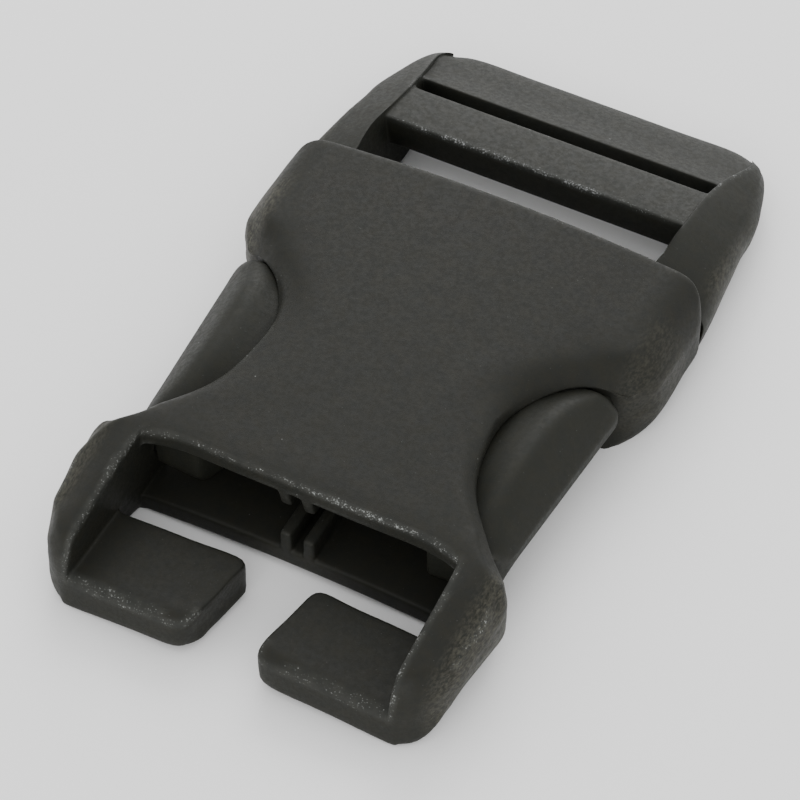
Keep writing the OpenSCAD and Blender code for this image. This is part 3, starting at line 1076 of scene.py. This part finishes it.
def mark_wear_highlight_and_sheen(obj: bpy.types.Object, wear_and_highlight: Field, scuff_and_sheen: Field) -> None:
    """Write how worn and scuffed each point of a moulding is, with the painted edge highlight and the painted side
    sheen that go with them, to its point attributes.

    Args:
        obj: The moulding.
        wear_and_highlight: Gives an edge's wear and painted highlight at a place in millimetres.
        scuff_and_sheen: Gives the surface's scuffing and painted sheen at a place in millimetres.
    """
    mesh = obj.data
    points = np.array([v.co for v in mesh.vertices]) / MM
    normals = np.array([v.normal for v in mesh.vertices])
    ends = np.array([e.vertices[:] for e in mesh.edges])
    bend = np.zeros(len(points))
    for one, other in ((0, 1), (1, 0)):
        step = points[ends[:, one]] - points[ends[:, other]]
        value = 2 * (normals[ends[:, one]] * step).sum(axis=1) / (step ** 2).sum(axis=1)
        np.maximum.at(bend, ends[:, one], value)
    edges = np.flatnonzero(bend > EDGE_BEND)
    tree = KDTree(len(edges))
    for index in edges:
        tree.insert(points[index], int(index))
    tree.balance()
    worn_and_highlight = mesh.attributes.new("edge_wear_and_highlight", "FLOAT", "POINT")
    scuffed_and_sheen = mesh.attributes.new("scuff_and_sheen", "FLOAT", "POINT")
    for index, place in enumerate(points):
        near = tree.find(place)[2]
        # Wear and painted highlight near the sharp edges; scuffing and painted sheen on the sides.
        worn_and_highlight.data[index].value = wear_and_highlight(*place) * (1 - smooth(near / WEAR_AND_HIGHLIGHT_REACH))
        scuffed_and_sheen.data[index].value = scuff_and_sheen(*place)


def add_node(tree: bpy.types.NodeTree, kind: str, inputs: dict, **settings: object) -> bpy.types.Node:
    """Add a node to a tree.

    Args:
        tree: The tree.
        kind: The node's type name.
        inputs: Input name or number to a value or to the socket that feeds it.
        settings: The node's own properties.

    Returns:
        The node.
    """
    node = tree.nodes.new(kind)
    for name, value in settings.items():
        setattr(node, name, value)
    for name, value in inputs.items():
        if isinstance(value, bpy.types.NodeSocket):
            tree.links.new(value, node.inputs[name])
        else:
            node.inputs[name].default_value = value
    return node


def new_group(name: str, inputs: dict[str, str], outputs: dict[str, str]
              ) -> tuple[bpy.types.NodeTree, bpy.types.Node, bpy.types.Node]:
    """Start a shader node group.

    Args:
        name: The group's name.
        inputs: Input name to socket type.
        outputs: Output name to socket type.

    Returns:
        The group's tree, its input node and its output node.
    """
    tree = bpy.data.node_groups.new(name, "ShaderNodeTree")
    for label, kind in inputs.items():
        tree.interface.new_socket(label, in_out="INPUT", socket_type=kind)
    for label, kind in outputs.items():
        tree.interface.new_socket(label, in_out="OUTPUT", socket_type=kind)
    return tree, tree.nodes.new("NodeGroupInput"), tree.nodes.new("NodeGroupOutput")


def math_node(tree: bpy.types.NodeTree, operation: str,
              *values: float | bpy.types.NodeSocket) -> bpy.types.NodeSocket:
    """Add a math node and return its output."""
    return add_node(tree, "ShaderNodeMath", dict(enumerate(values)), operation=operation).outputs[0]


def ramp(tree: bpy.types.NodeTree, value: bpy.types.NodeSocket, low: float, high: float, start: float = 0.0,
         end: float = 1.0) -> bpy.types.NodeSocket:
    """Map a value from low..high to start..end, held to its ends, and return the output.

    Args:
        tree: The tree that takes the node.
        value: The socket that gives the value.
        low: Value that maps to the start.
        high: Value that maps to the end.
        start: First result.
        end: Last result.

    Returns:
        The result's socket.
    """
    return add_node(tree, "ShaderNodeMapRange", {"Value": value, "From Min": low, "From Max": high, "To Min": start,
                                                 "To Max": end}, interpolation_type="SMOOTHSTEP").outputs["Result"]


def grain_group() -> bpy.types.NodeTree:
    """Build the moulded grain: a fine height and a broad mottling of the tone.

    Returns:
        The group's tree.
    """
    tree, given, out = new_group("moulded_grain", {"Place": "NodeSocketVector"},
                                 {"Height": "NodeSocketFloat", "Mottle": "NodeSocketFloat"})
    place = given.outputs["Place"]
    coarse = add_node(tree, "ShaderNodeTexNoise", {"Vector": place, "Scale": 2400, "Detail": 3, "Roughness": 0.6})
    fine = add_node(tree, "ShaderNodeTexNoise", {"Vector": place, "Scale": 8500, "Detail": 1})
    broad = add_node(tree, "ShaderNodeTexNoise", {"Vector": place, "Scale": 900, "Detail": 4, "Roughness": 0.7})
    height = math_node(tree, "MULTIPLY_ADD", fine.outputs[0], 0.5, coarse.outputs[0])
    tree.links.new(height, out.inputs["Height"])
    tree.links.new(broad.outputs[0], out.inputs["Mottle"])
    return tree


def wear_and_highlight_group() -> bpy.types.NodeTree:
    """Build the speckled wear and painted highlight of an edge from how worn the edge is.

    Returns:
        The group's tree.
    """
    tree, given, out = new_group("edge_wear_and_highlight", {"Place": "NodeSocketVector", "Edge": "NodeSocketFloat"},
                                 {"Mask": "NodeSocketFloat"})
    place = given.outputs["Place"]
    dots = add_node(tree, "ShaderNodeTexNoise", {"Vector": place, "Scale": 6200, "Detail": 2, "Roughness": 0.6})
    patches = add_node(tree, "ShaderNodeTexNoise", {"Vector": place, "Scale": 900, "Detail": 2})
    patchy = ramp(tree, patches.outputs[0], 0.3, 0.65, 0.45, 1.0)
    edge = math_node(tree, "MULTIPLY", given.outputs["Edge"], patchy)
    level = math_node(tree, "MULTIPLY_ADD", edge, 0.37, dots.outputs[0])
    speckle = ramp(tree, level, 0.70, 1.02)
    # The haze is a faint painted highlight all along the edge, under the speckled wear.
    highlight_haze = math_node(tree, "MULTIPLY", edge, 0.10)
    tree.links.new(math_node(tree, "MAXIMUM", speckle, highlight_haze), out.inputs["Mask"])
    return tree


def speck_group() -> bpy.types.NodeTree:
    """Build sparse pale specks and short scratches.

    Returns:
        The group's tree.
    """
    tree, given, out = new_group("specks", {"Place": "NodeSocketVector"}, {"Mask": "NodeSocketFloat"})
    masks = []
    for scale, turn, size, rare in ((620, (0, 0, 0), 0.055, 0.90), (430, (0.3, 0.2, 0.7), 0.05, 0.93)):
        stretch = (1, 1, 1) if size > 0.052 else (0.28, 1, 1)
        spread = add_node(tree, "ShaderNodeMapping", {"Vector": given.outputs["Place"], "Rotation": turn,
                                                      "Scale": stretch})
        cell = add_node(tree, "ShaderNodeTexVoronoi", {"Vector": spread.outputs[0], "Scale": scale})
        dot = ramp(tree, cell.outputs["Distance"], size, size * 0.4)
        split = add_node(tree, "ShaderNodeSeparateColor", {"Color": cell.outputs["Color"]})
        masks.append(math_node(tree, "MULTIPLY", dot, math_node(tree, "GREATER_THAN", split.outputs[0], rare)))
    tree.links.new(math_node(tree, "MAXIMUM", *masks), out.inputs["Mask"])
    return tree


def scuff_and_sheen_group() -> bpy.types.NodeTree:
    """Build fine streaks that run along the buckle where it is scuffed and where a painted sheen lies.

    Returns:
        The group's tree.
    """
    tree, given, out = new_group("scuff_and_sheen_streaks", {"Place": "NodeSocketVector", "Scuff": "NodeSocketFloat"},
                                 {"Mask": "NodeSocketFloat"})
    along = add_node(tree, "ShaderNodeMapping", {"Vector": given.outputs["Place"], "Scale": (1, 0.4, 1)})
    lines = add_node(tree, "ShaderNodeTexNoise", {"Vector": along.outputs[0], "Scale": 5200, "Detail": 3,
                                                 "Roughness": 0.65})
    streak = ramp(tree, lines.outputs[0], 0.34, 0.74)
    tree.links.new(math_node(tree, "MULTIPLY", streak, given.outputs["Scuff"]), out.inputs["Mask"])
    return tree


@dataclass(frozen=True)
class Finish:
    """A moulded black plastic: its colours, gloss and grain."""

    name: str
    cool: Tone
    # Pale tone of worn edges, specks and the painted edge highlight.
    warm: Tone
    worn_and_highlight: Tone
    # Tone of the dusty scuffs and of the painted sheen on the sides.
    dusty_and_sheen: Tone
    specular: float
    grain: float


class PlasticKind(Enum):
    """The finishes of the two mouldings."""

    SOCKET = Finish("socket_black", (0.0120, 0.0127, 0.0107), (0.0147, 0.0144, 0.0107), (0.27, 0.28, 0.27),
                    (0.090, 0.085, 0.064), 0.14, 0.17)
    PLUG = Finish("plug_black", (0.0126, 0.0135, 0.0110), (0.0153, 0.0153, 0.0111), (0.27, 0.28, 0.28),
                  (0.088, 0.082, 0.064), 0.14, 0.16)


@dataclass
class Paintbox:
    """The effects that both plastics share, and the materials made with them."""

    grain: bpy.types.NodeTree = field(default_factory=grain_group)
    wear_and_highlight: bpy.types.NodeTree = field(default_factory=wear_and_highlight_group)
    specks: bpy.types.NodeTree = field(default_factory=speck_group)
    scuff_and_sheen: bpy.types.NodeTree = field(default_factory=scuff_and_sheen_group)

    SCUFF_SHARE, SPECK_SHARE = 0.62, 0.45
    ROUGHNESS = (0.46, 0.62)
    WEAR_AND_HIGHLIGHT_ROUGHNESS = -0.08
    GRAIN_MM = 0.05

    def plastic(self, finish: Finish) -> bpy.types.Material:
        """Build a finish's material.

        Args:
            finish: The plastic's colours, gloss and grain.

        Returns:
            The material.
        """
        material = bpy.data.materials.new(finish.name)
        material.use_nodes = True
        tree = material.node_tree
        shader = tree.nodes["Principled BSDF"]
        place = add_node(tree, "ShaderNodeTexCoord", {}).outputs["Object"]

        def effect(group: bpy.types.NodeTree, **inputs: bpy.types.NodeSocket) -> bpy.types.Node:
            """Place one of the shared effects."""
            return add_node(tree, "ShaderNodeGroup", {"Place": place, **inputs}, node_tree=group)

        def attribute(name: str) -> bpy.types.NodeSocket:
            """Read one of the moulding's point attributes."""
            return add_node(tree, "ShaderNodeAttribute", {}, attribute_name=name).outputs["Fac"]

        def mix(factor: bpy.types.NodeSocket, low: Tone | bpy.types.NodeSocket, high: Tone) -> bpy.types.NodeSocket:
            """Mix two colours.

            Args:
                factor: Share of the second colour.
                low: First colour, or the socket that gives it.
                high: Second colour.

            Returns:
                The mixed colour's socket.
            """
            node = add_node(tree, "ShaderNodeMix", {}, data_type="RGBA")
            for number, value in ((0, factor), (6, low), (7, high)):
                if isinstance(value, bpy.types.NodeSocket):
                    tree.links.new(value, node.inputs[number])
                else:
                    node.inputs[number].default_value = (*value, 1)
            return node.outputs[2]

        grain = effect(self.grain)
        wear_and_highlight = effect(self.wear_and_highlight, Edge=attribute("edge_wear_and_highlight")).outputs["Mask"]
        specks = effect(self.specks).outputs["Mask"]
        scuff_and_sheen = effect(self.scuff_and_sheen, Scuff=attribute("scuff_and_sheen")).outputs["Mask"]
        colour = mix(ramp(tree, grain.outputs["Mottle"], 0.26, 0.74), finish.cool, finish.warm)
        # Dusty scuff streaks, partly a painted sheen on the sides.
        colour = mix(math_node(tree, "MULTIPLY", scuff_and_sheen, self.SCUFF_SHARE), colour, finish.dusty_and_sheen)
        colour = mix(math_node(tree, "MULTIPLY", specks, self.SPECK_SHARE), colour, finish.worn_and_highlight)
        # Worn edges, partly a painted highlight.
        colour = mix(wear_and_highlight, colour, finish.worn_and_highlight)
        tree.links.new(colour, shader.inputs["Base Color"])
        rough = ramp(tree, grain.outputs["Height"], 0.5, 1.0, *self.ROUGHNESS)
        tree.links.new(math_node(tree, "MULTIPLY_ADD", wear_and_highlight, self.WEAR_AND_HIGHLIGHT_ROUGHNESS, rough), shader.inputs["Roughness"])
        shader.inputs["Specular IOR Level"].default_value = finish.specular
        bump = add_node(tree, "ShaderNodeBump", {"Strength": finish.grain, "Distance": self.GRAIN_MM * MM,
                                                 "Height": grain.outputs["Height"]})
        tree.links.new(bump.outputs[0], shader.inputs["Normal"])
        return material


@dataclass
class Studio:
    """A pale floor, soft light and a camera at the photograph's angle."""

    azimuth: float = 28.022
    elevation: float = 49.518
    roll: float = -0.438
    distance: float = 271.979
    focal_px: float = 3486.51
    shift_right: float = -2.238
    shift_up: float = -4.852
    floor_grey: float = 0.92
    room_grey: float = 0.9
    room_strength: float = 1.5

    SENSOR = 36
    PHOTO_PX = 800
    LIGHTS = (("key", (-0.14, 0.46, 0.29), 0.4, 2.2), ("fill", (0.1, -0.75, 0.2), 0.5, 3.0))

    def camera(self) -> None:
        """Create the camera and make it the scene's own."""
        a, e, r = (math.radians(v) for v in (self.azimuth, self.elevation, self.roll))
        back = Vector((math.sin(a) * math.cos(e), -math.cos(a) * math.cos(e), math.sin(e)))
        right = Vector((math.cos(a), math.sin(a), 0))
        up = back.cross(right)
        right_r = right * math.cos(r) + up * math.sin(r)
        up_r = up * math.cos(r) - right * math.sin(r)
        place = Vector((0, 0, 5)) + back * self.distance + right * self.shift_right + up * self.shift_up
        data = bpy.data.cameras.new("photo_camera")
        data.sensor_width = self.SENSOR
        data.lens = self.focal_px / self.PHOTO_PX * self.SENSOR
        data.clip_start = 0.01
        data.clip_end = 10
        camera = bpy.data.objects.new("photo_camera", data)
        bpy.context.scene.collection.objects.link(camera)
        turn = Matrix((right_r, up_r, back)).transposed().to_4x4()
        camera.matrix_world = Matrix.Translation(place * MM) @ turn
        bpy.context.scene.camera = camera

    def floor(self) -> None:
        """Lay a pale floor under the buckle."""
        deselect()
        bpy.ops.mesh.primitive_plane_add(size=6, location=(0, 0, 0))
        floor = bpy.context.object
        floor.name = "floor"
        material = bpy.data.materials.new("pale_floor")
        material.use_nodes = True
        shader = material.node_tree.nodes["Principled BSDF"]
        shader.inputs["Base Color"].default_value = (*[self.floor_grey] * 3, 1)
        shader.inputs["Roughness"].default_value = 0.9
        floor.data.materials.append(material)

    def lights(self) -> None:
        """Hang a soft light low behind the buckle and another low in front of it, in a pale room."""
        for name, place, size, power in self.LIGHTS:
            data = bpy.data.lights.new(name, "AREA")
            data.energy = power
            data.size = size
            light = bpy.data.objects.new(name, data)
            bpy.context.scene.collection.objects.link(light)
            light.location = place
            light.rotation_euler = (-Vector(place)).to_track_quat("-Z", "Y").to_euler()
        world = bpy.data.worlds.new("room")
        world.use_nodes = True
        sky = world.node_tree.nodes["Background"]
        sky.inputs["Color"].default_value = (*[self.room_grey] * 3, 1)
        sky.inputs["Strength"].default_value = self.room_strength
        bpy.context.scene.world = world


def main() -> None:
    """Build the buckle's looks and the studio around them."""
    logging.basicConfig(level=logging.INFO, format="%(message)s")
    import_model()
    paintbox = Paintbox()
    for maker, node, slot, kind in ((Socket(), "socket", "socket_plastic", PlasticKind.SOCKET),
                                    (Plug(), "plug", "plug_plastic", PlasticKind.PLUG)):
        piece = maker.build()
        piece.data.materials.clear()
        mark_wear_highlight_and_sheen(piece, maker.wear_and_highlight, maker.scuff_and_sheen)
        piece.data.materials.append(paintbox.plastic(kind.value))
        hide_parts(node)
        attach(piece, "root")
        LOG.info("%s: %d faces", piece.name, len(piece.data.polygons))
    studio = Studio()
    studio.floor()
    studio.lights()
    studio.camera()


if __name__ == "__main__":
    main()
